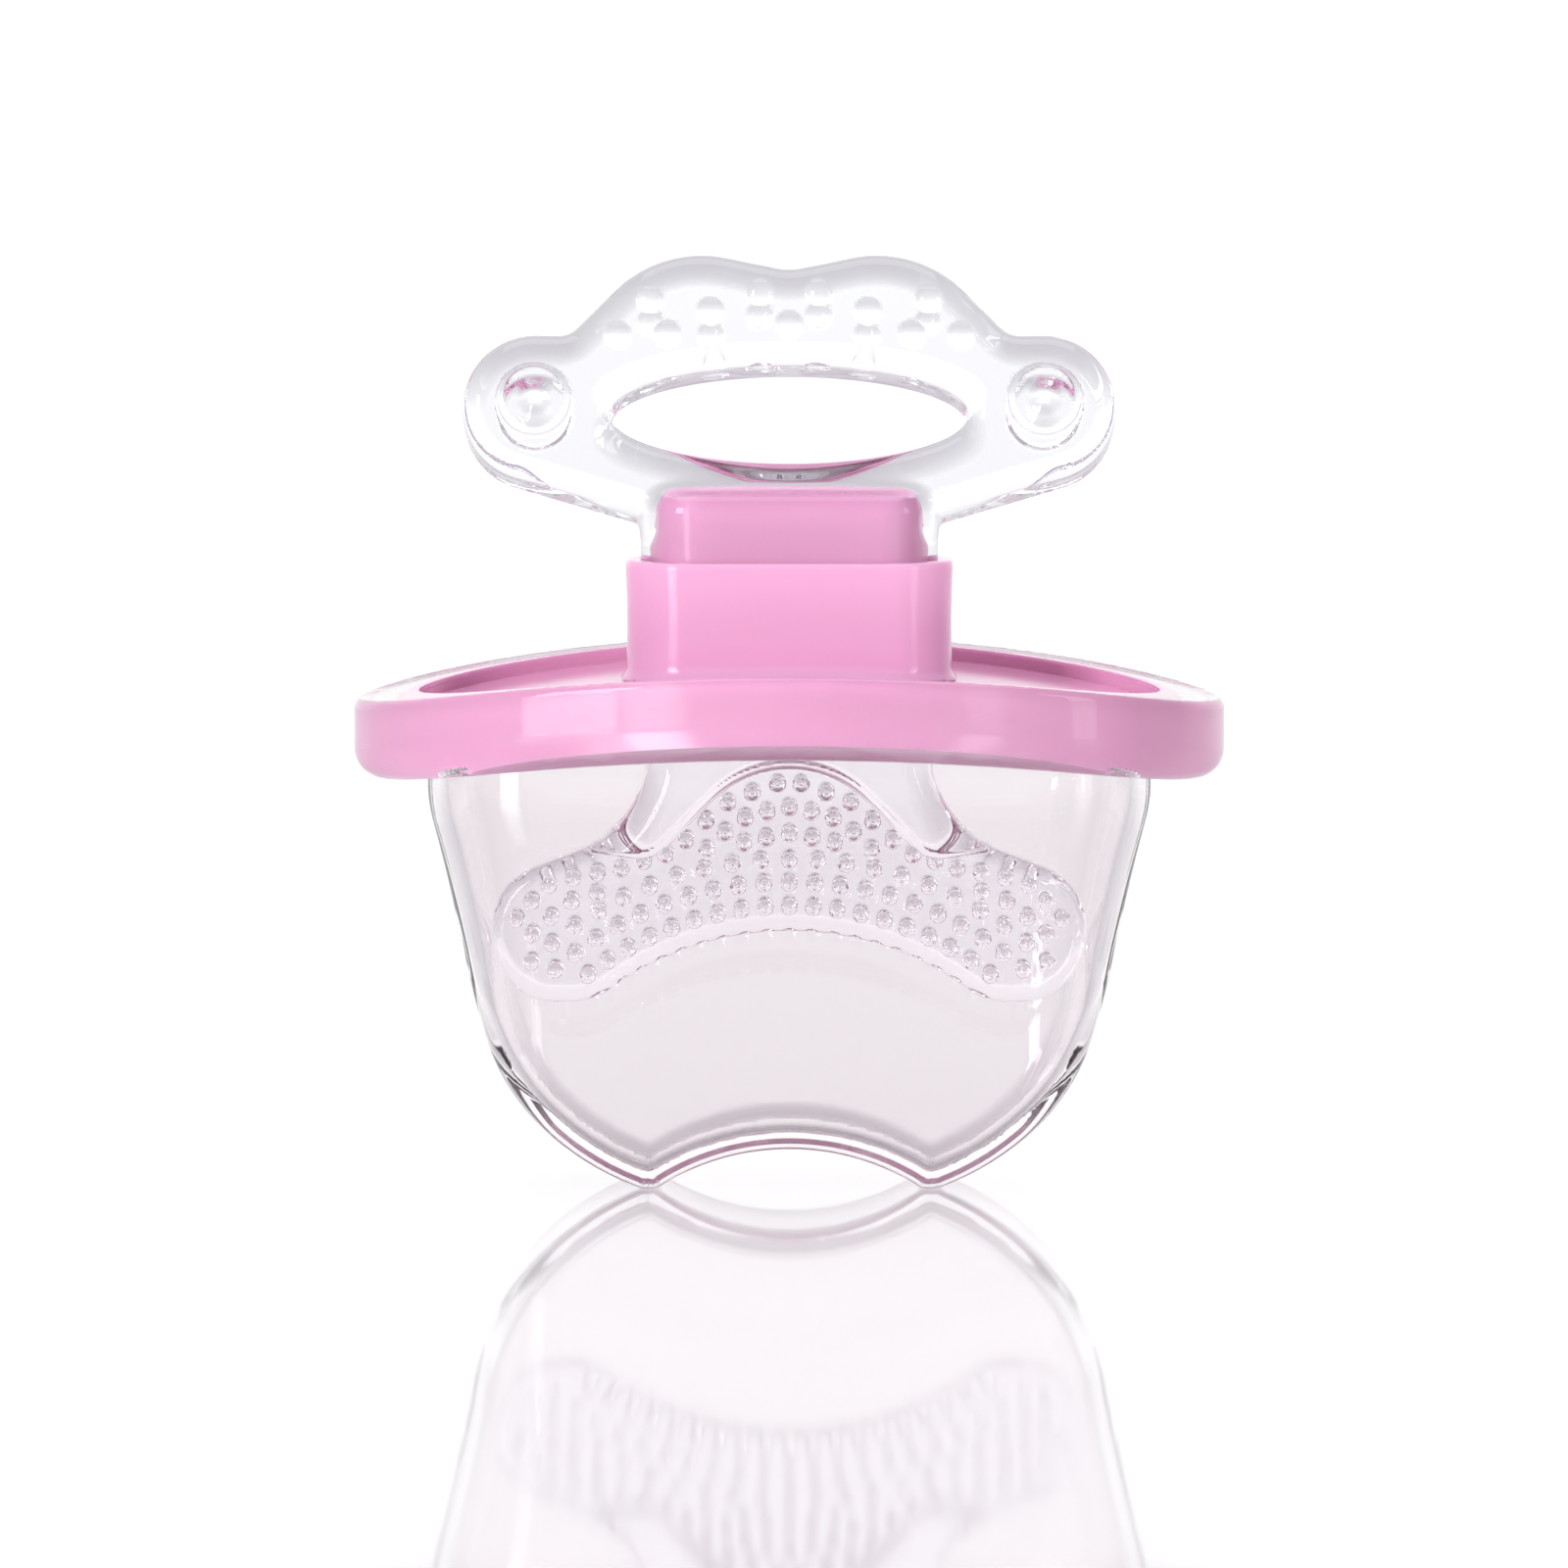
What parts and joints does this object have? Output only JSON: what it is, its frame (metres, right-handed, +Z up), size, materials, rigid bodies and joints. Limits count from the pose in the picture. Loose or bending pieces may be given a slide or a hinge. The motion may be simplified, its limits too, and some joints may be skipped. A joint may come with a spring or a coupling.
{
  "type": "front-gum teether",
  "caption": "Soft clear silicone gum teether with loop handle, nubbed chewing plate and pink shield, standing in its clear press-on cover",
  "frame": {"origin": "on the surface it stands on, below the middle of its box", "axes": "+Z up through the handle, X along the shield's width, -Y is the front and the handle leans back to +Y"},
  "size_m": [0.066, 0.0434, 0.0702],
  "materials": {
    "clear_cover": "polished clear polypropylene with a faint pink tint",
    "pink_plastic": "glossy moulded plastic, slightly translucent",
    "clear_silicone": "clear glossy silicone rubber"
  },
  "bodies": {
    "cover_body": {"cover": "clear_cover"},
    "teether": {"shield": "pink_plastic", "shield_rim": "clear_silicone", "collar": "pink_plastic", "core": "pink_plastic", "handle": "clear_silicone", "chewing_plate": "clear_silicone"}
  },
  "joints": [
    {"name": "cover_pull", "type": "slide", "parent": "cover_body", "child": "teether", "axis": [0, 0, 1], "range_m": [0, 0.03]}
  ]
}
